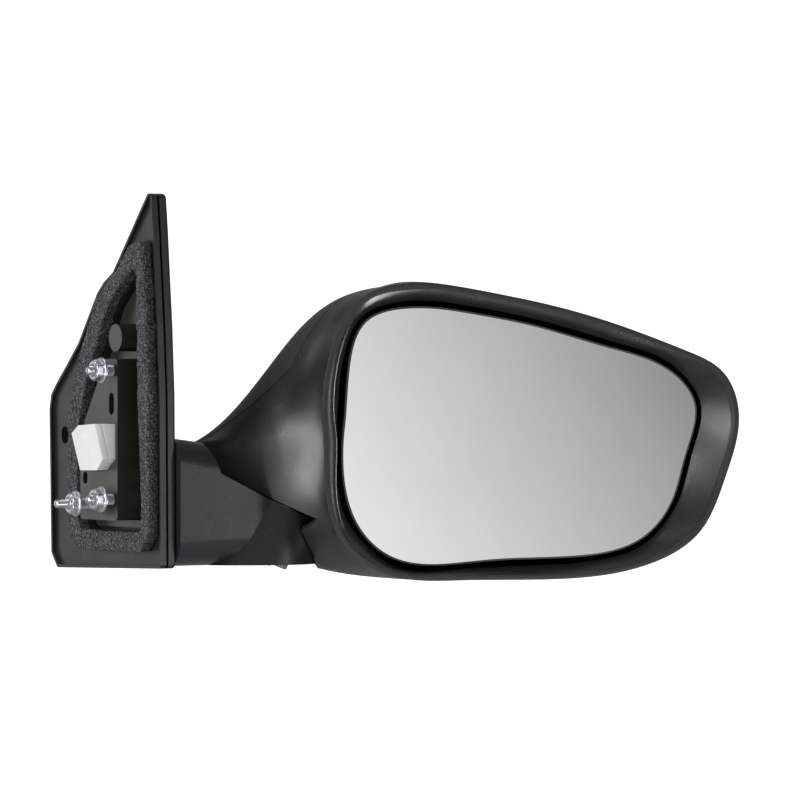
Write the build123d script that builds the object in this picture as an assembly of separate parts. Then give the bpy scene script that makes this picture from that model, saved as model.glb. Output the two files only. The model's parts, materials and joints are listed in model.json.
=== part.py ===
from build123d import *
import math
import os

os.makedirs("parts", exist_ok=True)

# Right-hand door mirror, millimetres. X outboard, Y forward, Z up. The origin lies on the mounting face.

# --- head: outlines are (x, z) in planes of constant y of the head frame, y = 0 at the rim ---
HEAD = Location((95.6, -68, -24), (0, 0, -18))
WALL = 2.8
RIM = [(-5.5, 28), (-2, 66), (18, 98.6), (45, 104.3), (79.5, 100.4), (111.6, 94.1), (150, 83.6),
       (188.6, 69.5), (209.5, 57.5), (217.5, 38.5), (210.5, 3), (196, -26.5), (168, -43),
       (125, -50), (70, -50.5), (28, -47), (4, -29.3)]
# how far each rim point moves (x, z) where the neck is widest
NECK = [(-64, -6), (-25, 2), (-9, 3), (-2, 1), (0, 0), (0, 0), (0, 0),
        (0, 0), (0, 0), (0, 0), (0, 0), (0, 0), (0, 0),
        (0, 0), (-5, -3), (-27, -4), (-53, 6)]
FRONT_Y = 108
FRONT_CENTRE = (62, 24)
FRONT_POWER = 2.4
NECK_POWER = 3
SECTION_ANGLES = (0, 7.5, 15, 22.5, 30, 37.5, 45, 52.5, 60, 67.5, 75, 81)
# the cap's joint line in (y, z): upright near the top, leaning forward lower down
CAP_LINE = [(32, 130), (32, 60), (46, 27), (66, -20)]
CAP_GAP = 0.6
RIM_LIP = 2.0
MOUTH_DEPTH = 14.5
MOUTH_WALL = 2.4

# --- glass ---
GLASS = [(8.3, 30), (11, 62), (20.5, 85.3), (41, 92), (80, 88.8), (108, 83.4), (151, 71.4), (184.7, 58.5),
         (197.5, 42), (192.5, 14), (185, -10.5), (169, -29.6),
         (135, -39), (85, -41), (33, -38.6), (13.8, -19)]
GLASS_GAP = 3.2
GLASS_Y = 13
GLASS_THICK = 2.0
PAD_THICK = 0.6
PLATE_THICK = 2.4
LIP = 0.9

# --- glass pivot and drive, head frame ---
PIVOT = (100, 31, 26)
SCREW_ARM = 34
BALL_R = 4.2
SOCKET_IN = 5.4
SOCKET_OUT = 7.2
STEM_R = 2.6
GEAR_R = 9
GEAR_TEETH = 20
WORM_R = 3.4
WORM_GAP = 0.4
MOTOR_R = 7.5
CASE_REAR_Y = 41
CASE_SPLIT_Y = 52
CASE_FRONT_Y = 64
CASE_WALL = 1.8
FRAME_THICK = 3
CASE_BOX = (60, 152, -20, 64)
CASE_SCREWS = [(66, 57), (146, 57), (66, -13), (146, -13)]
WORM_OFFSET = GEAR_R + WORM_R + WORM_GAP

# --- fold axis, head frame: leans outboard at the top ---
FOLD_TILT = 26
FOLD = HEAD * Location((-17.7, 50, -13.4), (0, FOLD_TILT, 0))
PARTING = 1.0
SKIRT_ANGLE = 68
DRUM_R = 24.5
DRUM_FLARE = math.tan(math.radians(15))
DRUM_DEPTH = 45
DISH_IN = 55.0
DISH_OUT = 63.5
DISH_RISE = 9.5
POST_R = 8.0
POST_BORE = 5.0
POST_TOP = 50
RUN_CLEAR = 0.06
HUB_R = 13.5
HUB_BOTTOM = 6.0
HUB_TOP = 30.0
DETENT_R = 16.0
SPRING_WIRE = 2.4
SPRING_TURNS = 4

# --- base, (y, z) outlines in planes of constant x ---
COVER = [(-26, 130.5), (16, 86.3), (26.4, 81), (33.7, 75.3), (46.5, 59.6), (55, 49.2), (67, 38.7),
         (79.5, 28.2), (86, 22), (88, 14), (86, -62), (79, -69.8), (-37, -67.5), (-36, 22), (-33.5, 60),
         (-31.4, 80.5), (-29, 106)]
COVER_IN_X = 11
COVER_OUT_X = 20.5
FLANGE_X = 13
POCKET_X = 18
COVER_RIM = 1.6
COVER_CORNER = 3
COVER_EDGE = 2
GROOVE_X = 14.3
GROOVE_WIDE = 1.3
GROOVE_DEEP = 2.2
FOAM = [(-24, 104), (-10, 100), (4, 87), (16, 80.5), (27, 71.5), (34, 60.5), (47, 40.5), (51, 27),
        (58, 13), (58, -45), (53, -56), (44, -59.5), (-23, -59.5), (-32, -50), (-31.5, 22),
        (-28, 70), (-25.5, 92)]
INNER = [(-18.5, 90), (-1, 79.5), (12.5, 69), (23, 52), (34.5, 34), (41, 18), (46, 3), (47, -42),
         (43, -48.5),
         (-24.5, -48.5), (-20, 20), (-19, 56)]
FOAM_THICK = 7.5
BLOCK = [(-10, 41), (4, 41), (12, 29), (27, 8), (31.5, -18), (31.5, -43), (-10, -43)]
FLOOR_X = 15.5
FLOOR_FIT = 0.97
STUD_R = 3.0
DOG_R = 2.2
NUT_FLAT = 5.0
NUT_FLANGE_R = 6.8
# y, z of each stud, where its nut starts, nut height, tip end
STUDS = [(-4, 35, -6, 5.5, -15), (-4, -32, -6, 5.5, -15), (18, -34.5, -9.5, 4.5, -22)]
CONNECTOR = [(-7.2, 7.3), (11.5, 6.3), (21.2, 2.1), (21.2, -17.3), (2.5, -17), (-7.2, -11)]
CONNECTOR_FRONT = 12.0
CONNECTOR_LEAN = -14.7
FOOT_BOTTOM = -66.5
BASE_SCREWS = [(-15.2, -43), (-15.2, -32), (-15.2, -21)]
SCREW_END = 27
BEAM_YZ = (-24, 5, -47, -14)


def inset(points, depth):
    """Moves a clockwise outline inward by depth, along the normal at each point."""
    moved = []
    for i, (x, z) in enumerate(points):
        ahead = points[(i + 1) % len(points)]
        behind = points[i - 1]
        run = (ahead[0] - behind[0], ahead[1] - behind[1])
        length = math.hypot(*run)
        moved.append((x + depth * run[1] / length, z - depth * run[0] / length))
    return moved


def ring(points, y):
    """Closed smooth wire through (x, z) points at one y."""
    return Wire([Edge.make_spline([Vector(x, y, z) for x, z in points], periodic=True)])


def section(t, depth):
    """Outline at a fraction t of the head's length: the rim shrinks forward, the neck swells and fades."""
    shrink = math.sqrt(1 - t ** FRONT_POWER)
    swell = math.sin(math.pi * t) ** NECK_POWER
    cx, cz = FRONT_CENTRE
    return [(cx + shrink * (x - cx) + swell * nx, cz + shrink * (z - cz) + swell * nz)
            for (x, z), (nx, nz) in zip(inset(RIM, depth), NECK)]


def bowl(depth):
    """The head's envelope from rim to front, moved inward by depth."""
    wires = []
    for angle in SECTION_ANGLES:
        t = math.sin(math.radians(angle))
        wires.append(ring(section(t, depth), t * (FRONT_Y - depth)))
    return Solid.make_loft(wires)


def box(x0, x1, y0, y1, z0, z1):
    return Pos((x0 + x1) / 2, (y0 + y1) / 2, (z0 + z1) / 2) * Box(x1 - x0, y1 - y0, z1 - z0)


def rod(start, direction, radius, length):
    """Solid cylinder from a point along a direction."""
    return Plane(origin=start, z_dir=direction) * Cylinder(
        radius, length, align=(Align.CENTER, Align.CENTER, Align.MIN))


def tube(start, direction, outer, inner, length):
    return rod(start, direction, outer, length) - rod(start, direction, inner, length)


def turned(profile):
    """Solid of revolution about local Z from (radius, height) points."""
    face = make_face(Polyline([(r, 0, h) for r, h in profile], close=True))
    return revolve(face, Axis.Z, 360)


def slab_yz(outline, x0, x1, radius=0):
    """Plate with a (y, z) outline between two x planes, its corners rounded."""
    face = make_face(Polyline([(y, z) for y, z in outline], close=True))
    if radius:
        face = fillet(face.vertices(), radius)
    plane = Plane(origin=(x0, 0, 0), x_dir=(0, 1, 0), z_dir=(1, 0, 0))
    return plane * extrude(face, x1 - x0)


def gather(*shapes):
    """One shape holding each given solid apart."""
    return Compound(children=[s for shape in shapes for s in shape.solids()])


# ---------------------------------------------------------------- fold axis solids
def foot_limit():
    """Space above the foot that the neck sweeps: flat floor, dished edge."""
    out = DISH_OUT + PARTING
    return FOLD * turned([(0, 0), (DISH_IN + PARTING, 0), (out, DISH_RISE), (out, 80), (0, 80)])


def neck_limit():
    """What the neck loses on its inboard side, outside the dish's profile."""
    keep = turned([(0, PARTING), (DISH_IN, PARTING), (DISH_OUT, DISH_RISE + PARTING),
                   (DISH_OUT, 120), (0, 120)])
    return FOLD * (box(-150, 0, -160, 160, -80, 100) - keep)


def drum(gap, top):
    """Flared drum of the foot about the fold axis."""
    radius = DRUM_R + gap
    return FOLD * turned([(0, top), (radius, top), (radius + DRUM_DEPTH * DRUM_FLARE, -DRUM_DEPTH),
                          (0, -DRUM_DEPTH)])


def skirt_limit():
    """Wedge below the parting plane that the foot's arm needs when the head folds back."""
    reach = 90
    edge = (reach * math.cos(math.radians(SKIRT_ANGLE)), -reach * math.sin(math.radians(SKIRT_ANGLE)))
    wedge = make_face(Polyline([(0, 0), (-reach, 0), (-reach, -reach), (0, -reach), edge], close=True))
    return FOLD * (Pos(0, 0, PARTING - reach) * extrude(wedge, reach))


def trim_head(shape):
    return shape - neck_limit() - drum(PARTING, PARTING) - skirt_limit()


# ---------------------------------------------------------------- head shells
def mouth_wall():
    """Flared wall from the rim in to the glass opening."""
    opening = inset(GLASS, -GLASS_GAP)
    outer = Solid.make_loft([ring(inset(RIM, RIM_LIP / 2), 0),
                             ring(inset(opening, -MOUTH_WALL), MOUTH_DEPTH)])
    inner = Solid.make_loft([ring(inset(RIM, RIM_LIP), 0), ring(opening, MOUTH_DEPTH)])
    return outer - inner


def cap_space(gap):
    """Everything forward of the cap's joint line, moved by gap."""
    line = [(y + gap, z) for y, z in CAP_LINE[:-1]] + [(CAP_LINE[-1][0] + gap, CAP_LINE[-1][1] + gap)]
    return slab_yz(line + [(130, line[-1][1]), (130, 130)], -90, 260)


def build_shells(outer, inner):
    shell = trim_head(HEAD * (outer - inner))
    body = shell - HEAD * cap_space(-CAP_GAP / 2) + HEAD * mouth_wall()
    cap = shell & (HEAD * cap_space(CAP_GAP / 2))
    return body, cap


def build_turret_plate(liner):
    """Floor of the neck, just above the parting plane."""
    slab = FOLD * (Pos(0, 0, PARTING + 1.25) * Box(160, 160, 2.5))
    floor = (HEAD * liner) & slab & (FOLD * (Pos(-10, 0, 20) * Cylinder(62, 60)))
    floor = floor - neck_limit() - (FOLD * Cylinder(DETENT_R + 1.5, 40))
    return floor - (FOLD * box(25, 200, -100, 100, -50, 50))


# ---------------------------------------------------------------- head internals
def build_head_frame(liner):
    """Backing plate across the head with the hub that turns on the pivot post."""
    front = liner & box(-20, 172, CASE_FRONT_Y, CASE_FRONT_Y + FRAME_THICK, -60, 130)
    arm = box(-16, 26, 56, CASE_FRONT_Y + FRAME_THICK, -4, 24)
    plate = trim_head(HEAD * (front + arm))
    hub = FOLD * (Pos(0, 0, (HUB_BOTTOM + HUB_TOP) / 2) * Cylinder(HUB_R, HUB_TOP - HUB_BOTTOM))
    above = FOLD * box(-60, 60, -60, 14, HUB_TOP, 90)
    below = FOLD * box(-120, 26, -100, 100, -80, HUB_BOTTOM)
    frame = plate - above - below + hub - FOLD * Cylinder(POST_R + RUN_CLEAR, 200)
    for x, z in CASE_SCREWS:
        frame = frame - HEAD * rod((x, 50, z), (0, 1, 0), 1.6, 30)
    return frame


def case_outline(y0, y1, shrink):
    x0, x1, z0, z1 = CASE_BOX
    body = box(x0 + shrink, x1 - shrink, y0, y1, z0 + shrink, z1 - shrink)
    return fillet(body.edges().filter_by(Axis.Y), 9 - shrink)


def case_half(y0, y1, floor_low):
    """One half of the drive case, open at the split plane."""
    inner0 = y0 + CASE_WALL if floor_low else y0
    inner1 = y1 if floor_low else y1 - CASE_WALL
    half = case_outline(y0, y1, 0) - case_outline(inner0, inner1, CASE_WALL)
    for x, z in CASE_SCREWS:
        half = half + rod((x, y0, z), (0, 1, 0), 4.5, y1 - y0)
        half = half - rod((x, y0 - 1, z), (0, 1, 0), 1.6, y1 - y0 + 2)
    return half


def yaw_point(y):
    return (PIVOT[0] + SCREW_ARM, y, PIVOT[2])


def pitch_point(y):
    return (PIVOT[0], y, PIVOT[2] - SCREW_ARM)


def build_case_rear():
    """Rear half with the post that carries the glass pivot."""
    half = case_half(CASE_REAR_Y, CASE_SPLIT_Y, True)
    px, py, pz = PIVOT
    half = half + rod((px, py - 4, pz), (0, 1, 0), 8, CASE_REAR_Y - py + 5)
    half = half - rod((px, py, pz - 20), (0, 0, 1), 1.7, 40)
    for point in (yaw_point, pitch_point):
        half = half - rod(point(CASE_REAR_Y - 1), (0, 1, 0), STEM_R + 0.5, 5)
    return HEAD * half


def build_case_front():
    return HEAD * case_half(CASE_SPLIT_Y, CASE_FRONT_Y, False)


def toothed(radius, teeth, length):
    """Spur wheel about local Z: a hub with square teeth."""
    wheel = Cylinder(radius - 1.2, length)
    tooth = Pos(radius - 0.9, 0, 0) * Box(1.8, 1.3, length)
    for i in range(teeth):
        wheel = wheel + Rot(0, 0, i * 360 / teeth) * tooth
    return wheel


def build_gear(point):
    wheel = Plane(origin=point(49), z_dir=(0, 1, 0)) * toothed(GEAR_R, GEAR_TEETH, 6)
    return HEAD * (wheel - rod(point(40), (0, 1, 0), STEM_R + 0.08, 30))


def build_jackscrew(point):
    """Stem with a ball at its rear end and thread rings along its length."""
    ball_at = point(PIVOT[1])
    screw = rod(ball_at, (0, 1, 0), STEM_R - 0.3, 26) + Pos(*ball_at) * Sphere(BALL_R)
    for i in range(10):
        screw = screw + rod(point(PIVOT[1] + 7 + 1.8 * i), (0, 1, 0), STEM_R, 0.9)
    return HEAD * screw


def worm_shaft(start, direction):
    """Worm on a short shaft: ribbed barrel between two journals."""
    shaft = rod(start, direction, 1.2, 22)
    axis = Vector(*direction)
    for i in range(6):
        at = Vector(*start) + axis * (4 + 2.2 * i)
        shaft = shaft + rod(at, direction, WORM_R, 1.2)
    return shaft + rod(Vector(*start) + axis * 4, direction, WORM_R - 1.2, 12.2)


def yaw_worm_start():
    return (PIVOT[0] + SCREW_ARM - WORM_OFFSET, 49, PIVOT[2] - 10)


def pitch_worm_start():
    return (PIVOT[0] + 10, 49, PIVOT[2] - SCREW_ARM + WORM_OFFSET)


def build_motor(start, direction):
    """Flat-sided motor can with a front bearing nose, bored for the shaft."""
    axis = Vector(*direction)
    nose = Vector(*start) + axis * 17.5
    can_at = Vector(*start) + axis * 19
    can = rod(can_at, direction, MOTOR_R, 17) & Pos(*(can_at + axis * 8)) * Box(
        *(40 if abs(c) > 0.5 or i != 1 else 12 for i, c in enumerate(direction)))
    motor = can + rod(nose, direction, 3.2, 1.6)
    return HEAD * (motor - rod(start, direction, 1.3, 23))


def build_gimbal():
    """Ring with two inward pins on the case post and two outward pins in the glass plate."""
    px, py, pz = PIVOT
    ring_ = tube((px, py - 2.4, pz), (0, 1, 0), 16.5, 12.5, 4.8)
    for side in (-1, 1):
        ring_ = ring_ + rod((px, py, pz + side * 4.5), (0, 0, side), 1.6, 9)
        ring_ = ring_ + rod((px + side * 15, py, pz), (side, 0, 0), 1.6, 7)
    return HEAD * ring_


def build_carrier():
    """Glass backing plate with edge lip, hub wall for the gimbal and two ball sockets."""
    plate_y = GLASS_Y + GLASS_THICK + PAD_THICK
    plate = glass_plate(GLASS, GLASS_Y + 0.5, plate_y + PLATE_THICK)
    plate = plate - glass_plate(inset(GLASS, LIP), GLASS_Y - 1, plate_y)
    px, py, pz = PIVOT
    wall_len = py + 3 - plate_y - 0.5
    plate = plate + tube((px, plate_y + 0.5, pz), (0, 1, 0), 22.5, 18.5, wall_len)
    plate = plate - rod((px - 30, py, pz), (1, 0, 0), 1.7, 60)
    for point in (yaw_point, pitch_point):
        plate = plate + tube(point(plate_y + 0.5), (0, 1, 0), SOCKET_OUT, SOCKET_IN, wall_len + 1)
    return HEAD * plate


def glass_plate(outline, y0, y1):
    face = Face(ring(outline, y0))
    return Solid.extrude(face, Vector(0, y1 - y0, 0))


def build_glass():
    return HEAD * glass_plate(inset(GLASS, LIP + 0.05), GLASS_Y, GLASS_Y + GLASS_THICK)


def build_pad():
    y = GLASS_Y + GLASS_THICK
    return HEAD * glass_plate(inset(GLASS, LIP + 3), y, y + PAD_THICK)


def build_case_screws():
    screws = []
    for x, z in CASE_SCREWS:
        y = CASE_FRONT_Y + FRAME_THICK
        screws.append(rod((x, CASE_REAR_Y + 4, z), (0, 1, 0), 1.6, y - CASE_REAR_Y - 4)
                      + rod((x, y, z), (0, 1, 0), 3.2, 2))
    return gather(*[HEAD * s for s in screws])


def build_detent(z0, z1, upper):
    """Detent washer with three ramps' worth of notches facing the fold gap."""
    washer = Pos(0, 0, (z0 + z1) / 2) * (Cylinder(DETENT_R, z1 - z0) - Cylinder(POST_R + 0.4, z1 - z0))
    notch_z = z0 if upper else z1
    for i in range(3):
        washer = washer - Rot(0, 0, 120 * i) * (Pos(12, 0, notch_z) * Box(10, 4, 1.6))
    return FOLD * washer


def build_spring():
    """Coil of round wire around the pivot post, above the hub."""
    radius = POST_R + SPRING_WIRE / 2 + 1.2
    low = HUB_TOP + SPRING_WIRE / 2 + 0.6
    high = POST_TOP - 5 - SPRING_WIRE / 2 - 0.2
    helix = Pos(0, 0, low) * Helix((high - low) / SPRING_TURNS, high - low, radius)
    start = helix @ 0
    profile = Plane(origin=start, z_dir=helix % 0) * Circle(SPRING_WIRE / 2)
    return FOLD * sweep(profile, helix)


def build_retainer():
    """Star washer that holds the spring down on the post."""
    washer = Pos(0, 0, POST_TOP - 4) * (Cylinder(13, 2) - Cylinder(POST_R, 2))
    for i in range(6):
        washer = washer - Rot(0, 0, 60 * i) * (Pos(13, 0, POST_TOP - 4) * Box(3, 3, 4))
    return FOLD * washer


# ---------------------------------------------------------------- foot
def arm_section(x, y0, y1, z1, radius):
    rect = Pos((y0 + y1) / 2, (FOOT_BOTTOM + z1) / 2) * RectangleRounded(y1 - y0, z1 - FOOT_BOTTOM, radius)
    plane = Plane(origin=(x, 0, 0), x_dir=(0, 1, 0), z_dir=(1, 0, 0))
    return plane * rect


def foot_solid():
    """Arm from the sail plate to the drum, its top cut for the neck."""
    arm = loft([arm_section(COVER_OUT_X, -41, 30, 0, 13), arm_section(45, -37.5, 18, -3, 14),
                arm_section(78, -33.5, 12, -8, 15)])
    body = arm + (drum(0, 0) & box(0, 200, -120, 120, FOOT_BOTTOM, 60))
    return body - foot_limit()


def build_foot_cover(solid):
    """Plastic shell over the metal arm: the arm's form with a pocket open at the plate."""
    pocket = box(COVER_OUT_X - 1, 88, *BEAM_YZ)
    pocket = pocket - FOLD * box(-120, 120, -100, 100, -8, 60)
    return solid - pocket - FOLD * Cylinder(DETENT_R + 0.5, 40) - FOLD * (Pos(0, 0, -20) * Cylinder(17, 24))


def build_foot_bracket():
    """Metal arm inside the foot with the hollow pivot post at its end."""
    beam = box(POCKET_X, 86, *BEAM_YZ)
    beam = beam - FOLD * box(-120, 120, -100, 100, -8, 60)
    post = FOLD * turned([(POST_BORE, -30), (POST_R, -30), (POST_R, POST_TOP), (POST_BORE, POST_TOP)])
    cup = FOLD * (Pos(0, 0, -15.75) * Cylinder(16.5, 24.5))
    cleared = beam + cup - FOLD * Cylinder(POST_BORE, 300)
    for y, z in BASE_SCREWS:
        cleared = cleared - rod((0, y, z), (1, 0, 0), 2, SCREW_END)
    return cleared + post


# ---------------------------------------------------------------- base
def outline_yz(outline, x, trim, thick):
    """Plate with a (y, z) outline moved inward by trim, standing on the plane at x."""
    face = offset(make_face(Polyline(outline, close=True)), -trim)
    return Plane(origin=(x, 0, 0), x_dir=(0, 1, 0), z_dir=(1, 0, 0)) * extrude(face, thick)


def build_sail_cover():
    """Tray with a flat flange under the gasket, a proud rim and a joint groove round its edge."""
    tray = slab_yz(COVER, COVER_IN_X, COVER_OUT_X, COVER_CORNER)
    outer_edges = tray.edges().filter_by_position(Axis.X, COVER_OUT_X - 0.01, COVER_OUT_X + 0.01)
    tray = fillet(outer_edges, COVER_EDGE)
    rebate = outline_yz(COVER, COVER_IN_X, COVER_RIM, FLANGE_X - COVER_IN_X)
    hollow = slab_yz(INNER, FLANGE_X - 1, POCKET_X, 4)
    groove = box(GROOVE_X, GROOVE_X + GROOVE_WIDE, -200, 200, -200, 200)
    groove = groove - outline_yz(COVER, GROOVE_X, GROOVE_DEEP, GROOVE_WIDE)
    window = box(POCKET_X - 1, COVER_OUT_X + 1, *BEAM_YZ)
    slot = slab_yz([(70, -4), (78, -4), (78, 5), (70, 5)], FLANGE_X - 1, FLANGE_X + 4, 3.5)
    return tray - rebate - hollow - groove - window - slot


def build_foam():
    outer = slab_yz(FOAM, FLANGE_X - FOAM_THICK, FLANGE_X, 5)
    return outer - slab_yz(INNER, FLANGE_X - FOAM_THICK - 1, FLANGE_X + 1, 4)


def build_mounting_base():
    """Metal plate in the tray with the raised mounting block and a round locating boss."""
    floor = slab_yz([(y * FLOOR_FIT, z * FLOOR_FIT) for y, z in INNER], FLOOR_X, POCKET_X, 4)
    base = floor + slab_yz(BLOCK, 0, FLOOR_X, 2.5)
    base = base + rod((3, -2, 52), (1, 0, 0), 7.2, FLOOR_X - 3)
    pocket = slab_yz(CONNECTOR, -1, FLOOR_X - 2)
    base = base - offset(pocket, 0.4)
    base = base - slab_yz([(-6, 12), (-0.5, 12), (-0.5, 23.5), (-6, 23.5)], -1, 9, 2.7)
    base = base - slab_yz([(23.5, -24.5), (28.5, -24.5), (28.5, -18), (23.5, -18)], -1, 9, 2.4)
    for y, z, *_ in STUDS:
        base = base - rod((-1, y, z), (1, 0, 0), STUD_R, 11)
    for y, z in BASE_SCREWS:
        base = base - rod((FLOOR_X - 1, y, z), (1, 0, 0), 2, 9)
    return base


def build_stud(y, z, nut_x, nut_h, tip_x):
    end = nut_x - nut_h - 1
    thread = rod((end, y, z), (1, 0, 0), STUD_R, 10 - end)
    return thread + rod((tip_x, y, z), (1, 0, 0), DOG_R, end - tip_x)


def build_nut(y, z, nut_x, nut_h, tip_x):
    """Hexagon nut with a round flange on its outboard side."""
    plane = Plane(origin=(nut_x - nut_h, y, z), x_dir=(0, 1, 0), z_dir=(1, 0, 0))
    hexagon = plane * extrude(RegularPolygon(NUT_FLAT, 6, major_radius=False), nut_h - 1.4)
    crown = rod((nut_x - nut_h, y, z), (1, 0, 0), NUT_FLAT * 1.1, nut_h)
    flange = rod((nut_x - 1.5, y, z), (1, 0, 0), NUT_FLANGE_R, 1.5)
    return (hexagon & crown) + flange - rod((nut_x - nut_h - 1, y, z), (1, 0, 0), STUD_R, nut_h + 2)


def connector_slice(depth0, depth1):
    """Layer of the plug between two depths behind its leaning mating face."""
    prism = slab_yz(CONNECTOR, -30, FLOOR_X - 2.4)
    frame = Location((-CONNECTOR_FRONT, 0, CONNECTOR[0][1]), (0, CONNECTOR_LEAN, 0))
    return prism & frame * box(depth0, depth1, -50, 50, -60, 60)


def build_connector():
    body = connector_slice(0, 2.2)
    return body + (connector_slice(2.1, 4.2) & box(-40, 20, -6, 20, -30, 30))


def build_connector_lock():
    return connector_slice(4.2, 40)


def build_base_screws():
    screws = []
    for y, z in BASE_SCREWS:
        screws.append(rod((FLOOR_X, y, z), (1, 0, 0), 2, SCREW_END - FLOOR_X)
                      + rod((FLOOR_X - 2, y, z), (1, 0, 0), 3.6, 2))
    return gather(*screws)


def main():
    outer = bowl(0)
    inner = bowl(WALL)
    liner = bowl(WALL + 0.8)
    body, cap = build_shells(outer, inner)
    foot = foot_solid()
    nodes = {
        "housing_body": body,
        "skull_cap": cap,
        "turret_plate": build_turret_plate(liner),
        "head_frame": build_head_frame(liner),
        "actuator_case_rear": build_case_rear(),
        "actuator_case_front": build_case_front(),
        "actuator_screws": build_case_screws(),
        "yaw_gear": build_gear(yaw_point),
        "pitch_gear": build_gear(pitch_point),
        "yaw_jackscrew": build_jackscrew(yaw_point),
        "pitch_jackscrew": build_jackscrew(pitch_point),
        "yaw_worm": HEAD * worm_shaft(yaw_worm_start(), (0, 0, 1)),
        "pitch_worm": HEAD * worm_shaft(pitch_worm_start(), (-1, 0, 0)),
        "yaw_motor": build_motor(yaw_worm_start(), (0, 0, 1)),
        "pitch_motor": build_motor(pitch_worm_start(), (-1, 0, 0)),
        "tilt_gimbal": build_gimbal(),
        "glass_carrier": build_carrier(),
        "mirror_glass": build_glass(),
        "adhesive_pad": build_pad(),
        "detent_ring_upper": build_detent(3.6, HUB_BOTTOM, True),
        "detent_ring_lower": build_detent(-3.5, 3.2, False),
        "fold_spring": build_spring(),
        "spring_retainer": build_retainer(),
        "foot_cover": build_foot_cover(foot),
        "foot_bracket": build_foot_bracket(),
        "sail_cover": build_sail_cover(),
        "foam_gasket": build_foam(),
        "mounting_base": build_mounting_base(),
        "mounting_studs": gather(*[build_stud(*s) for s in STUDS]),
        "flange_nuts": gather(*[build_nut(*s) for s in STUDS]),
        "wiring_connector": build_connector(),
        "connector_lock": build_connector_lock(),
        "base_screws": build_base_screws(),
    }
    for name, shape in nodes.items():
        export_step(shape, f"parts/{name}.step")


main()
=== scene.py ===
import json
import math

import bmesh
import bpy
from mathutils import Matrix, Vector, noise


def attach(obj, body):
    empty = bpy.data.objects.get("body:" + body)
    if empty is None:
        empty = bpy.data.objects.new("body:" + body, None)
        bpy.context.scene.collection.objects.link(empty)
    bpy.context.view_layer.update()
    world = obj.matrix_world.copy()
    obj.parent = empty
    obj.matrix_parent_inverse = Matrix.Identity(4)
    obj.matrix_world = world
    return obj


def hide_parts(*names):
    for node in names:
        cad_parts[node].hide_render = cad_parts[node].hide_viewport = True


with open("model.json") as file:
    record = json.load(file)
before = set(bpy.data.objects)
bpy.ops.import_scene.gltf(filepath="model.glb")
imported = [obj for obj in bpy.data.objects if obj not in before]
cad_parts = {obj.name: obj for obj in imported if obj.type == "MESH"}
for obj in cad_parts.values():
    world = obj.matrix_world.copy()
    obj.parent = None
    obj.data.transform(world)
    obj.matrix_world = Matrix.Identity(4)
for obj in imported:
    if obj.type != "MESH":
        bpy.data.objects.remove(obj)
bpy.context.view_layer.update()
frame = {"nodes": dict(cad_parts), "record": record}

MM = 0.001
NODES = frame["nodes"]


# ------------------------------------------------------------------ camera, floor and light
# where the camera stands, the width it takes in, and the point it looks at: across, up and into the view
VIEW_AZIMUTH = math.radians(30)
VIEW_ELEVATION = math.radians(0.5)
VIEW_DISTANCE = 4.0
VIEW_WIDTH = 0.4184
VIEW_ACROSS = 0.1517
VIEW_HEIGHT = 0.0194
VIEW_DEPTH = 0.020
SENSOR = 36.0
CLIP_END = 50

# how bright the room is by direction, from inboard (0) to outboard (1), its slight blue tint, and how
# bright the camera sees it, a little over white
ROOM_STOPS = [(0.0, 0.22), (0.35, 0.30), (0.5, 0.26), (1.0, 0.16)]
ROOM_BLUE = 1.01
PLAIN_STRENGTH = 1.3

# level floor from FLOOR_NEAR, in front of the object, to SWEEP_START behind it, where it curves up to a wall
FLOOR_Z = -0.42
FLOOR_NEAR = -3.0
FLOOR_GREY = 0.55
SWEEP_START = 0.9
SWEEP_R = 0.9
SWEEP_STEPS = 24
SWEEP_HALF = 5.0
WALL_TOP = 5.0

# each light's place from the point that the camera looks at, its size and its power
LIGHTS = [
    ("left_box", (-1.28, -0.14, 0.0), (0.22, 0.8), 9),
    ("right_front", (0.66, -1.14, -0.05), (0.26, 0.30), 2.2),
    ("front_low", (0.12, -0.62, -0.38), (0.25, 0.16), 1.3),
    ("back_box", (-0.72, 1.25, 0.15), (0.6, 0.9), 1.6),
    ("top", (-0.2, 0.35, 1.2), (1.3, 0.5), 7),
]

# front panel: its place, half its width and height, and its brightness at the middle, for each metre
# across and up, and at its darkest and brightest
CARD_PLACE = (-0.13, -1.3, 0.0)
CARD_HALF = 0.42
CARD_TALL = 0.45
CARD_MIDDLE = 0.66
CARD_SLOPE_X = -1.9
CARD_SLOPE_Z = -1.1
CARD_LEAST = 0.30
CARD_MOST = 2.6


def view_axes():
    """Directions to the right of the picture and into it, both level."""
    right = Vector((math.cos(VIEW_AZIMUTH), -math.sin(VIEW_AZIMUTH), 0))
    into = Vector((math.sin(VIEW_AZIMUTH), math.cos(VIEW_AZIMUTH), 0))
    return right, into


def make_camera():
    """Camera level with the head, and the point that it looks at."""
    right, into = view_axes()
    target = right * VIEW_ACROSS + into * VIEW_DEPTH + Vector((0, 0, VIEW_HEIGHT))
    back = -into * math.cos(VIEW_ELEVATION) + Vector((0, 0, math.sin(VIEW_ELEVATION)))
    data = bpy.data.cameras.new("camera")
    data.sensor_width = SENSOR
    data.lens = SENSOR * VIEW_DISTANCE / VIEW_WIDTH
    data.clip_end = CLIP_END
    camera = bpy.data.objects.new("camera", data)
    camera.location = target + back * VIEW_DISTANCE
    camera.rotation_euler = back.to_track_quat("Z", "Y").to_euler()
    bpy.context.scene.collection.objects.link(camera)
    bpy.context.scene.camera = camera
    return target


def area_light(name, place, target, size, power):
    """Rectangular soft light that faces the target."""
    data = bpy.data.lights.new(name, "AREA")
    data.shape = "RECTANGLE"
    data.size, data.size_y = size
    data.energy = power
    lamp = bpy.data.objects.new(name, data)
    lamp.location = place
    lamp.rotation_euler = (Vector(place) - target).to_track_quat("Z", "Y").to_euler()
    bpy.context.scene.collection.objects.link(lamp)


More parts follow.
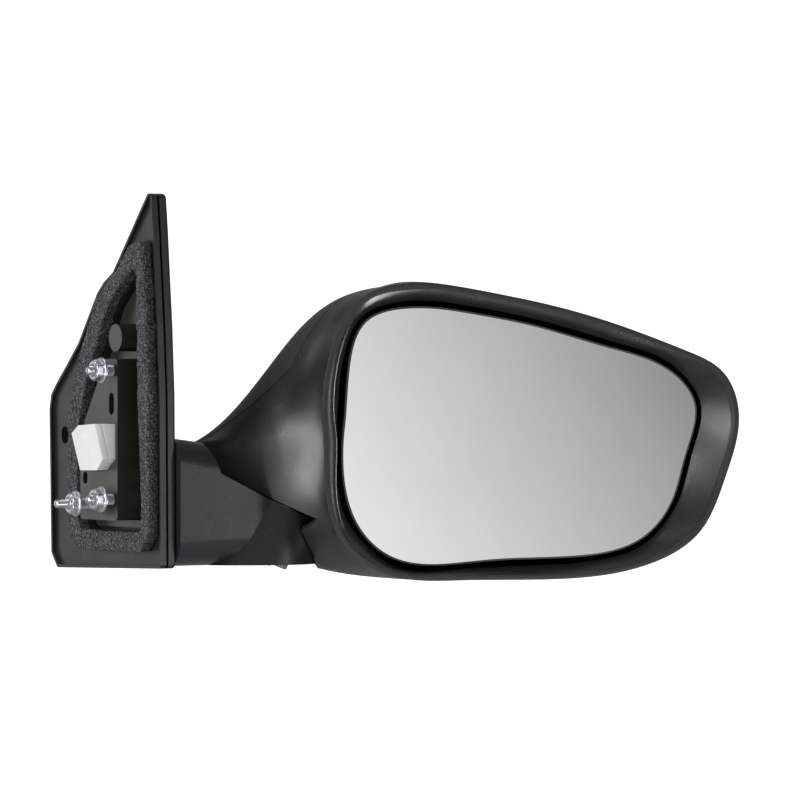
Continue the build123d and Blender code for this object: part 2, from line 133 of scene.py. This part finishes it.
def make_world():
    """Plain white behind the object, and a room that is darker outboard for the lighting."""
    world = bpy.data.worlds.new("studio")
    bpy.context.scene.world = world
    world.use_nodes = True
    nodes, links = world.node_tree.nodes, world.node_tree.links
    nodes.clear()
    out = nodes.new("ShaderNodeOutputWorld")
    mix = nodes.new("ShaderNodeMixShader")
    path = nodes.new("ShaderNodeLightPath")
    plain = nodes.new("ShaderNodeBackground")
    plain.inputs["Color"].default_value = (1, 1, 1, 1)
    plain.inputs["Strength"].default_value = PLAIN_STRENGTH
    room = nodes.new("ShaderNodeBackground")
    coords = nodes.new("ShaderNodeTexCoord")
    split = nodes.new("ShaderNodeSeparateXYZ")
    ramp = nodes.new("ShaderNodeValToRGB")
    ramp.color_ramp.interpolation = "EASE"
    while len(ramp.color_ramp.elements) < len(ROOM_STOPS):
        ramp.color_ramp.elements.new(0.5)
    for element, (where, value) in zip(ramp.color_ramp.elements, ROOM_STOPS):
        element.position = where
        element.color = (value, value, value * ROOM_BLUE, 1)
    scale = nodes.new("ShaderNodeMapRange")
    scale.inputs["From Min"].default_value = -1
    scale.inputs["From Max"].default_value = 1
    links.new(coords.outputs["Generated"], split.inputs[0])
    links.new(split.outputs["X"], scale.inputs["Value"])
    links.new(scale.outputs["Result"], ramp.inputs["Fac"])
    links.new(ramp.outputs["Color"], room.inputs["Color"])
    links.new(path.outputs["Is Camera Ray"], mix.inputs["Fac"])
    links.new(room.outputs[0], mix.inputs[1])
    links.new(plain.outputs[0], mix.inputs[2])
    links.new(mix.outputs[0], out.inputs["Surface"])


def make_stage(target):
    """Pale floor that sweeps up behind the object. The camera sees through it, so it hides no other view."""
    right, into = view_axes()
    profile = [(FLOOR_NEAR, 0.0), (SWEEP_START, 0.0)]
    for step in range(1, SWEEP_STEPS + 1):
        angle = math.pi / 2 * step / SWEEP_STEPS
        profile.append((SWEEP_START + SWEEP_R * math.sin(angle), SWEEP_R * (1 - math.cos(angle))))
    profile.append((SWEEP_START + SWEEP_R, WALL_TOP))
    verts = []
    for depth, height in profile:
        for side in (-SWEEP_HALF, SWEEP_HALF):
            verts.append(into * depth + right * side + Vector((target.x, target.y, FLOOR_Z + height)))
    faces = [(2 * i, 2 * i + 1, 2 * i + 3, 2 * i + 2) for i in range(len(profile) - 1)]
    mesh = bpy.data.meshes.new("floor")
    mesh.from_pydata(verts, [], faces)
    mesh.polygons.foreach_set("use_smooth", [True] * len(mesh.polygons))
    floor = new_object("floor", mesh)
    floor.visible_camera = False
    s = Shader("pale_floor")
    s.set(Base_Color=(FLOOR_GREY, FLOOR_GREY, FLOOR_GREY, 1), Roughness=0.9)
    mesh.materials.append(s.material)


def make_lights(target):
    for name, place, size, power in LIGHTS:
        area_light(name, target + Vector(place), target, size, power)
    make_card(target)


def make_card(target):
    """Large soft front panel, brighter low on its inboard side, which the glass shows as a gradient.
    It lights and is reflected, but the camera sees through it."""
    mesh = bpy.data.meshes.new("front_card")
    corners = [(x * CARD_HALF, 0, z * CARD_TALL) for x, z in ((-1, -1), (1, -1), (1, 1), (-1, 1))]
    mesh.from_pydata(corners, [], [(0, 3, 2, 1)])
    card = new_object("front_card", mesh)
    card.location = target + Vector(CARD_PLACE)
    card.visible_camera = False
    s = Shader("front_card")
    split = s.tree.nodes.new("ShaderNodeSeparateXYZ")
    s.tree.links.new(s.place, split.inputs[0])
    across = s.math("ADD", s.math("MULTIPLY", split.outputs["X"], CARD_SLOPE_X), CARD_MIDDLE)
    level = s.math("ADD", across, s.math("MULTIPLY", split.outputs["Z"], CARD_SLOPE_Z))
    s.set(Base_Color=(0, 0, 0, 1), Emission_Color=(1, 1, 1, 1), Specular_IOR_Level=0.0)
    s.use("Emission Strength", s.math("MINIMUM", s.math("MAXIMUM", level, CARD_LEAST), CARD_MOST))
    mesh.materials.append(s.material)


# ------------------------------------------------------------------ materials
class Shader:
    """A material being built, with short calls for its nodes."""

    def __init__(self, name):
        self.material = bpy.data.materials.new(name)
        self.material.use_nodes = True
        self.tree = self.material.node_tree
        self.bsdf = self.tree.nodes["Principled BSDF"]
        coords = self.tree.nodes.new("ShaderNodeTexCoord")
        self.place = coords.outputs["Object"]

    def set(self, **values):
        for name, value in values.items():
            self.bsdf.inputs[name.replace("_", " ")].default_value = value
        return self

    def noise(self, size, detail=3, roughness=0.55, stretch=(1, 1, 1)):
        """Noise whose features are about size metres across."""
        node = self.tree.nodes.new("ShaderNodeTexNoise")
        node.inputs["Scale"].default_value = 1
        node.inputs["Detail"].default_value = detail
        node.inputs["Roughness"].default_value = roughness
        mapping = self.tree.nodes.new("ShaderNodeMapping")
        mapping.inputs["Scale"].default_value = [s / size for s in stretch]
        self.tree.links.new(self.place, mapping.inputs["Vector"])
        self.tree.links.new(mapping.outputs[0], node.inputs["Vector"])
        return node.outputs["Fac"]

    def cells(self, size):
        """Distance from the middle of the nearest of many cells about size metres across."""
        node = self.tree.nodes.new("ShaderNodeTexVoronoi")
        node.inputs["Scale"].default_value = 1 / size
        self.tree.links.new(self.place, node.inputs["Vector"])
        return node.outputs["Distance"]

    def ramp(self, source, stops):
        """Colour or grey ramp over a 0 to 1 source."""
        node = self.tree.nodes.new("ShaderNodeValToRGB")
        elements = node.color_ramp.elements
        while len(elements) < len(stops):
            elements.new(0.5)
        for element, (where, value) in zip(elements, stops):
            element.position = where
            element.color = (value, value, value, 1) if isinstance(value, float) else (*value, 1)
        self.tree.links.new(source, node.inputs["Fac"])
        return node.outputs["Color"]

    def multiply(self, a, b):
        """Product of two colours."""
        node = self.tree.nodes.new("ShaderNodeMix")
        node.data_type = "RGBA"
        node.blend_type = "MULTIPLY"
        node.inputs["Factor"].default_value = 1.0
        self.tree.links.new(a, node.inputs[6])
        self.tree.links.new(b, node.inputs[7])
        return node.outputs[2]

    def math(self, operation, a, b):
        node = self.tree.nodes.new("ShaderNodeMath")
        node.operation = operation
        for socket, value in ((node.inputs[0], a), (node.inputs[1], b)):
            if isinstance(value, (int, float)):
                socket.default_value = value
            else:
                self.tree.links.new(value, socket)
        return node.outputs[0]

    def use(self, name, source):
        self.tree.links.new(source, self.bsdf.inputs[name])
        return self

    def bump(self, height, depth, strength=1.0):
        """Adds relief depth metres deep; calls stack."""
        node = self.tree.nodes.new("ShaderNodeBump")
        node.inputs["Distance"].default_value = depth
        node.inputs["Strength"].default_value = strength
        self.tree.links.new(height, node.inputs["Height"])
        before = self.bsdf.inputs["Normal"].links
        if before:
            self.tree.links.new(before[0].from_socket, node.inputs["Normal"])
        self.tree.links.new(node.outputs[0], self.bsdf.inputs["Normal"])
        return self


def grained_plastic(name, colour, warm, roughness, grain=0.00045, depth=0.00003):
    """Moulded plastic: spark-eroded grain, slow drift in tint and polish."""
    s = Shader(name)
    drift = s.noise(0.06, 2)
    s.use("Base Color", s.ramp(drift, [(0.3, colour), (0.7, warm)]))
    polish = s.noise(0.018, 4)
    s.use("Roughness", s.ramp(polish, [(0.25, roughness - 0.05), (0.75, roughness + 0.06)]))
    s.set(Specular_IOR_Level=0.5)
    s.bump(s.noise(grain, 2, 0.6), depth)
    s.bump(s.noise(0.012, 1), 0.00005, 0.25)
    return s.material


def mirror_material():
    """Silvered glass with a faint film that varies in tint and polish."""
    s = Shader("mirror_silver")
    s.set(Metallic=1.0)
    film = s.noise(0.03, 4)
    s.use("Base Color", s.ramp(film, [(0.2, (0.885, 0.89, 0.895)), (0.8, (0.93, 0.932, 0.935))]))
    s.use("Roughness", s.ramp(s.noise(0.05, 3), [(0.3, 0.012), (0.8, 0.03)]))
    s.set(Coat_Weight=0.6, Coat_Roughness=0.02)
    return s.material


def foam_material():
    """Open-cell foam: grey struts, with painted shade darkening the pores and the pits of its relief."""
    s = Shader("foam_cells")
    pores = s.cells(0.0011)
    speck = s.noise(0.0009, 4, 0.7)
    # speckle from near black to grey: the foam's own grey tone, with painted shade in the pits, since the same
    # noise sets the bump below
    base = s.ramp(speck, [(0.36, (0.012, 0.012, 0.013)), (0.5, (0.075, 0.073, 0.077)),
                          (0.66, (0.27, 0.26, 0.27))])
    # painted shade: colour darkened towards the middle of each pore
    painted_pore_shade = s.ramp(pores, [(0.1, 0.35), (0.6, 1.0)])
    s.use("Base Color", s.multiply(base, painted_pore_shade))
    s.set(Roughness=0.95, Specular_IOR_Level=0.15)
    s.bump(speck, 0.0006, 0.9)
    return s.material


def metal_material(name, colour, roughness, streak=0.0006, dirt=0.25):
    """Plated or cast metal with fine scratches and dulled patches."""
    s = Shader(name)
    s.set(Metallic=1.0)
    patch = s.noise(0.004, 4)
    dull = tuple(c * (1 - dirt) for c in colour)
    s.use("Base Color", s.ramp(patch, [(0.35, dull), (0.6, colour)]))
    s.use("Roughness", s.ramp(s.noise(0.002, 4), [(0.3, roughness - 0.06), (0.75, roughness + 0.12)]))
    s.bump(s.noise(streak, 3, 0.6, (1, 1, 0.25)), 0.00002)
    return s.material


def nylon_material():
    s = Shader("white_nylon")
    tint = s.noise(0.01, 3)
    s.use("Base Color", s.ramp(tint, [(0.3, (0.83, 0.83, 0.81)), (0.7, (0.9, 0.9, 0.89))]))
    s.use("Roughness", s.ramp(s.noise(0.004, 3), [(0.3, 0.36), (0.7, 0.48)]))
    s.set(Subsurface_Weight=0.08, Subsurface_Scale=0.002)
    s.bump(s.noise(0.0007, 2), 0.00002)
    return s.material


def make_materials():
    """A material for each slot of the record, in its order of making."""
    return {
        "shell_plastic": grained_plastic("shell_charcoal", (0.020, 0.0195, 0.0215), (0.025, 0.024, 0.0255),
                                         0.30),
        "cap_plastic": grained_plastic("cap_charcoal", (0.022, 0.0225, 0.022), (0.027, 0.027, 0.026), 0.36),
        "foot_plastic": grained_plastic("foot_charcoal", (0.018, 0.0165, 0.020), (0.024, 0.0215, 0.0225),
                                        0.29),
        "cover_plastic": grained_plastic("cover_black", (0.012, 0.012, 0.0115), (0.016, 0.016, 0.0145), 0.4),
        "base_metal": grained_plastic("base_coat", (0.022, 0.0215, 0.017), (0.030, 0.029, 0.023), 0.3,
                                      0.0012, 0.00004),
        "case_plastic": grained_plastic("case_nylon", (0.03, 0.03, 0.032), (0.04, 0.04, 0.04), 0.5),
        "carrier_plastic": grained_plastic("carrier_black", (0.05, 0.05, 0.052), (0.06, 0.06, 0.06), 0.45),
        "drive_plastic": grained_plastic("acetal", (0.70, 0.69, 0.64), (0.78, 0.77, 0.72), 0.4),
        "pad_rubber": grained_plastic("pad_rubber", (0.02, 0.02, 0.02), (0.03, 0.03, 0.03), 0.7),
        "gasket_foam": foam_material(),
        "cast_metal": metal_material("cast_metal", (0.42, 0.42, 0.43), 0.5, 0.0015),
        "zinc_steel": metal_material("zinc_plate", (0.60, 0.61, 0.65), 0.30),
        "motor_steel": metal_material("motor_can", (0.62, 0.62, 0.62), 0.3),
        "worm_brass": metal_material("worm_brass", (0.76, 0.58, 0.30), 0.3),
        "spring_steel": metal_material("spring_steel", (0.28, 0.28, 0.29), 0.38),
        "connector_nylon": nylon_material(),
        "mirror_glass": mirror_material(),
    }


# ------------------------------------------------------------------ pieces
# distance within which vertices are joined, and the fold above which an edge stays sharp
WELD = 0.00002
SHARP = math.radians(32)
ROUND_SHARP = math.radians(60)

# foam: voxel, then size and height of its slow and fine relief, and how far its skin is drawn in
FOAM_VOXEL = 0.0009
FOAM_SLOW = (0.009, 0.00035)
FOAM_FINE = (0.0013, 0.00055)
FOAM_INSET = 0.0005
FOAM_SHARP = math.radians(80)

# the head's own axes: origin in the plane of its rim, turned about Z
HEAD_ORIGIN = Vector((0.0956, -0.068, -0.024))
HEAD_TURN = math.radians(-18)

# the rim's lip: radius of its rounded edges, how near the plane of the rim they lie, and their least fold
LIP_ROUND = 0.0012
LIP_BAND = 0.00006
LIP_FOLD = math.radians(25)

# rim and glass outlines in millimetres across and up the head, as the CAD has them
RIM = [(-5.5, 28), (-2, 66), (18, 98.6), (45, 104.3), (79.5, 100.4), (111.6, 94.1), (150, 83.6),
       (188.6, 69.5), (209.5, 57.5), (217.5, 38.5), (210.5, 3), (196, -26.5), (168, -43),
       (125, -50), (70, -50.5), (28, -47), (4, -29.3)]
GLASS = [(8.3, 30), (11, 62), (20.5, 85.3), (41, 92), (80, 88.8), (108, 83.4), (151, 71.4), (184.7, 58.5),
         (197.5, 42), (192.5, 14), (185, -10.5), (169, -29.6), (135, -39), (85, -41), (33, -38.6), (13.8, -19)]
GLASS_GAP = 3.2
MOUTH_DEPTH = 14.5

# the liner, in millimetres: how far it covers the wall's edge round the glass, the way it returns behind
# the wall, and the inset from the rim and the depth of its rounded front edge
LINER_OVERLAP = 0.25
LINER_RETURN = 0.9
LINER_EDGE = [(2.1, 0.5), (2.35, 0.12), (2.65, 0.02), (2.95, 0.15), (3.15, 0.55)]
LINER_BACK = (2.6, 1.5)
LINER_STEPS = 10
LINER_CENTRE = (100, 24)
LOOP_POINTS = 240
CURVE_STEPS = 24
SMOOTHINGS = 3

# y, z of each stud, where its nut seats, nut height and tip end, all in millimetres along X
STUDS = [(-4, 35, -6, 5.5, -15), (-4, -32, -6, 5.5, -15), (18, -34.5, -9.5, 4.5, -22)]
STUD_ROOT = 10.0
STUD_SIDES = 32
STUD_SHARP = math.radians(28)
THREAD_R = 2.98
THREAD_DEPTH = 0.5
THREAD_PITCH = 1.0
THREAD_STEPS = 8
THREAD_START = 0.35
THREAD_PAST_NUT = 1
DOG_R = 2.2
NUT_FLAT = 5.0
NUT_CORNER = 5.5
NUT_FLANGE_R = 6.8
NUT_BORE = THREAD_R - 0.1
NUT_SIDES = 72
NUT_SHARP = math.radians(24)


def finish_piece(piece, body, slot, material, *replaced):
    """Gives a piece its material, the body that it rides on and the CAD nodes that it stands for."""
    piece.data.materials.clear()
    piece.data.materials.append(material)
    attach(piece, body)
    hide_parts(*replaced)


def new_object(name, mesh):
    piece = bpy.data.objects.new(name, mesh)
    bpy.context.scene.collection.objects.link(piece)
    return piece


def apply_modifiers(piece):
    """Puts the result of a piece's modifiers in place of its mesh."""
    graph = bpy.context.evaluated_depsgraph_get()
    mesh = bpy.data.meshes.new_from_object(piece.evaluated_get(graph))
    piece.modifiers.clear()
    old = piece.data
    piece.data = mesh
    bpy.data.meshes.remove(old)


def welded_copy(name, node, edit=None):
    """A CAD node's mesh as a new object, its seams joined, then edited."""
    mesh = bpy.data.meshes.new(name)
    work = bmesh.new()
    work.from_mesh(NODES[node].data)
    bmesh.ops.remove_doubles(work, verts=work.verts, dist=WELD)
    if edit:
        edit(work)
    work.to_mesh(mesh)
    work.free()
    return new_object(name, mesh)


def smooth_by_angle(mesh, angle=SHARP):
    mesh.polygons.foreach_set("use_smooth", [True] * len(mesh.polygons))
    mesh.set_sharp_from_angle(angle=angle)


def make_foam(material):
    """Gasket with a torn, granular skin."""
    piece = welded_copy("foam_strip", "foam_gasket")
    remesh = piece.modifiers.new("cells", "REMESH")
    remesh.mode = "VOXEL"
    remesh.voxel_size = FOAM_VOXEL
    apply_modifiers(piece)
    for vertex in piece.data.vertices:
        p = vertex.co
        relief = sum(noise.noise(p / size) * height for size, height in (FOAM_SLOW, FOAM_FINE))
        vertex.co = p + vertex.normal * (relief - FOAM_INSET)
    smooth_by_angle(piece.data, FOAM_SHARP)
    finish_piece(piece, "base", "gasket_foam", material, "foam_gasket")


def dress_cad(materials):
    """Gives every CAD node the material of its slot."""
    slots = {part["node"]: part["material_slot"] for part in frame["record"]["subparts"]}
    for name, node in NODES.items():
        node.data.materials.clear()
        node.data.materials.append(materials[slots[name]])
        smooth_by_angle(node.data)


def head_depth(point):
    """Distance of a point behind the rim's plane."""
    return (point - HEAD_ORIGIN).dot(Vector((-math.sin(HEAD_TURN), math.cos(HEAD_TURN), 0)))


def is_lip(edge):
    """True for a sharp edge that lies in the rim's plane."""
    if len(edge.link_faces) != 2 or edge.calc_face_angle(0) < LIP_FOLD:
        return False
    return all(abs(head_depth(vertex.co)) < LIP_BAND for vertex in edge.verts)


def round_lip(work):
    lip = [edge for edge in work.edges if is_lip(edge)]
    bmesh.ops.bevel(work, geom=lip, offset=LIP_ROUND, segments=4, profile=0.5, affect="EDGES",
                    clamp_overlap=True, loop_slide=False)


def make_housing(material):
    """The housing with both edges of its rim's lip rounded over."""
    piece = welded_copy("housing_skin", "housing_body", round_lip)
    smooth_by_angle(piece.data)
    finish_piece(piece, "head", "shell_plastic", material, "housing_body")


def closed_curve(points):
    """Smooth closed loop through the points: chord-length cubic with periodic tangents."""
    count = len(points)
    chord = [math.dist(points[i], points[(i + 1) % count]) for i in range(count)]
    tangent = []
    for i in range(count):
        before, after = chord[i - 1], chord[i]
        tangent.append([((points[(i + 1) % count][k] - points[i][k]) / after * before
                         + (points[i][k] - points[i - 1][k]) / before * after) / (before + after)
                        for k in (0, 1)])
    loop = []
    for i in range(count):
        j = (i + 1) % count
        a, b = points[i], points[j]
        for step in range(CURVE_STEPS):
            t = step / CURVE_STEPS
            h = (2 * t**3 - 3 * t**2 + 1, t**3 - 2 * t**2 + t, 3 * t**2 - 2 * t**3, t**3 - t**2)
            loop.append(tuple(h[0] * a[k] + h[1] * chord[i] * tangent[i][k] + h[2] * b[k]
                              + h[3] * chord[i] * tangent[j][k] for k in (0, 1)))
    return loop


def polar_loop(points, centre):
    """The loop's radius sampled at even angles about a centre."""
    table = sorted((math.atan2(z - centre[1], x - centre[0]), math.hypot(x - centre[0], z - centre[1]))
                   for x, z in closed_curve(points))
    first, last = table[0], table[-1]
    table = [(last[0] - 2 * math.pi, last[1])] + table + [(first[0] + 2 * math.pi, first[1])]
    angles = [-math.pi + 2 * math.pi * i / LOOP_POINTS for i in range(LOOP_POINTS)]
    radii = []
    k = 0
    for angle in angles:
        while table[k + 1][0] < angle:
            k += 1
        (a0, r0), (a1, r1) = table[k], table[k + 1]
        radii.append(r0 + (r1 - r0) * (angle - a0) / max(a1 - a0, 1e-9))
    for _ in range(SMOOTHINGS):
        radii = [(radii[i - 1] + 2 * radii[i] + radii[(i + 1) % LOOP_POINTS]) / 4
                 for i in range(LOOP_POINTS)]
    return [(centre[0] + r * math.cos(angle), centre[1] + r * math.sin(angle))
            for angle, r in zip(angles, radii)]


def inset_loop(loop, depth):
    """Moves an anticlockwise loop inward by depth."""
    moved = []
    for i, (x, z) in enumerate(loop):
        ahead, behind = loop[(i + 1) % len(loop)], loop[i - 1]
        run = (ahead[0] - behind[0], ahead[1] - behind[1])
        length = math.hypot(*run)
        moved.append((x - depth * run[1] / length, z + depth * run[0] / length))
    return moved


def make_liner(material):
    """Smooth flared skin from the lip's inner edge to the opening round the glass."""
    rim = polar_loop(RIM, LINER_CENTRE)
    opening = inset_loop(polar_loop(GLASS, LINER_CENTRE), -GLASS_GAP + LINER_OVERLAP)
    rings = [(inset_loop(rim, depth), y) for depth, y in LINER_EDGE]
    start, start_y = rings[-1]
    for step in range(1, LINER_STEPS + 1):
        t = step / LINER_STEPS
        ring = [(a[0] + (b[0] - a[0]) * t, a[1] + (b[1] - a[1]) * t) for a, b in zip(start, opening)]
        rings.append((ring, start_y + (MOUTH_DEPTH - start_y) * t))
    rings.append((inset_loop(opening, -LINER_RETURN), MOUTH_DEPTH))
    back_inset, back_depth = LINER_BACK
    rings.append((inset_loop(rim, back_inset), back_depth))
    turn = Matrix.Rotation(HEAD_TURN, 3, "Z")
    verts = [HEAD_ORIGIN + turn @ Vector((x * MM, y * MM, z * MM)) for ring, y in rings for x, z in ring]
    faces = []
    for k in range(len(rings)):
        here = k * LOOP_POINTS
        ahead = (k + 1) % len(rings) * LOOP_POINTS
        for i in range(LOOP_POINTS):
            j = (i + 1) % LOOP_POINTS
            faces.append([here + i, here + j, ahead + j, ahead + i])
    piece = new_object("mouth_liner", joined_mesh("mouth_liner", [(verts, faces)]))
    smooth_by_angle(piece.data, ROUND_SHARP)
    finish_piece(piece, "head", "shell_plastic", material, "housing_body")


def lathe(rings, y, z, around):
    """Faces of a closed skin about a line along X: rings hold x and a radius for each angle."""
    verts, faces = [], []
    for x, radius in rings:
        for i in range(around):
            angle = 2 * math.pi * i / around
            r = radius(angle) if callable(radius) else radius
            verts.append((x * MM, (y + r * math.cos(angle)) * MM, (z + r * math.sin(angle)) * MM))
    for k in range(len(rings) - 1):
        for i in range(around):
            j = (i + 1) % around
            faces.append((k * around + i, k * around + j, (k + 1) * around + j, (k + 1) * around + i))
    return verts, faces


def cap_ring(faces, start, around, turn):
    """Closes a lathe's end ring with one face, turned over where asked."""
    ring = list(range(start, start + around))
    faces.append(ring if turn else ring[::-1])


def joined_mesh(name, shells):
    """One mesh of several shells, each with its normals facing out."""
    verts, faces = [], []
    for part_verts, part_faces in shells:
        base = len(verts)
        verts += part_verts
        faces += [[base + i for i in face] for face in part_faces]
    mesh = bpy.data.meshes.new(name)
    mesh.from_pydata(verts, [], faces)
    work = bmesh.new()
    work.from_mesh(mesh)
    bmesh.ops.recalc_face_normals(work, faces=work.faces)
    work.to_mesh(mesh)
    work.free()
    return mesh


def stud_shell(y, z, nut_x, nut_h, tip_x):
    """Threaded stud with a plain dog point that is chamfered at its tip."""
    end = nut_x - nut_h - THREAD_PAST_NUT
    rings = [(tip_x, 1.2), (tip_x + 0.25, 1.75), (tip_x + 0.7, DOG_R), (end - 0.9, DOG_R), (end - 0.2, 2.45)]
    x = end
    while x < STUD_ROOT:
        rings.append((x, thread_radius(x, x - end)))
        x += THREAD_PITCH / THREAD_STEPS
    rings.append((STUD_ROOT, THREAD_R - THREAD_DEPTH))
    verts, faces = lathe(rings, y, z, STUD_SIDES)
    cap_ring(faces, 0, STUD_SIDES, True)
    cap_ring(faces, (len(rings) - 1) * STUD_SIDES, STUD_SIDES, False)
    return verts, faces


def thread_radius(x, run):
    """Radius round a helical thread at x, fading in over its first turn."""
    depth = THREAD_DEPTH * min(1, THREAD_START + run / THREAD_PITCH)

    def radius(angle):
        phase = (x / THREAD_PITCH - angle / (2 * math.pi)) % 1.0
        return THREAD_R - THREAD_DEPTH + depth * (1 - abs(2 * phase - 1))
    return radius


def hexagon(limit):
    """Radius round a hexagon whose corners are turned down to a limit."""
    def radius(angle):
        return min(NUT_FLAT / math.cos((angle + math.pi / 6) % (math.pi / 3) - math.pi / 6), limit)
    return radius


def nut_shell(y, z, nut_x, nut_h):
    """Flange nut: countersunk bore, chamfered outer face, hexagon, and a flange down to its seat."""
    face = nut_x - nut_h
    seat_bore = NUT_BORE + 0.1
    rings = [(nut_x, seat_bore), (face + 0.5, NUT_BORE), (face + 0.05, NUT_BORE + 0.45),
             (face, NUT_BORE + 0.6), (face, 4.5), (face + 0.12, hexagon(4.85)), (face + 0.45, hexagon(5.3)),
             (face + 0.75, hexagon(NUT_CORNER)), (nut_x - 1.75, hexagon(NUT_CORNER)),
             (nut_x - 1.55, hexagon(5.62)), (nut_x - 1.3, 6.2), (nut_x - 0.95, 6.65),
             (nut_x - 0.7, NUT_FLANGE_R), (nut_x - 0.1, NUT_FLANGE_R), (nut_x, 6.65), (nut_x, seat_bore)]
    return lathe(rings, y, z, NUT_SIDES)


def make_fasteners(material):
    """The three studs as one piece and their three nuts as another."""
    studs = new_object("stud_set", joined_mesh("stud_set", [stud_shell(*stud) for stud in STUDS]))
    smooth_by_angle(studs.data, STUD_SHARP)
    finish_piece(studs, "base", "zinc_steel", material, "mounting_studs")
    nuts = new_object("nut_set", joined_mesh("nut_set", [nut_shell(*stud[:4]) for stud in STUDS]))
    smooth_by_angle(nuts.data, NUT_SHARP)
    finish_piece(nuts, "base", "zinc_steel", material, "flange_nuts")


# ------------------------------------------------------------------ scene
materials = make_materials()
target = make_camera()
make_world()
make_stage(target)
make_lights(target)
dress_cad(materials)
make_foam(materials["gasket_foam"])
make_fasteners(materials["zinc_steel"])
make_housing(materials["shell_plastic"])
make_liner(materials["shell_plastic"])

bpy.context.scene.view_settings.view_transform = "Standard"
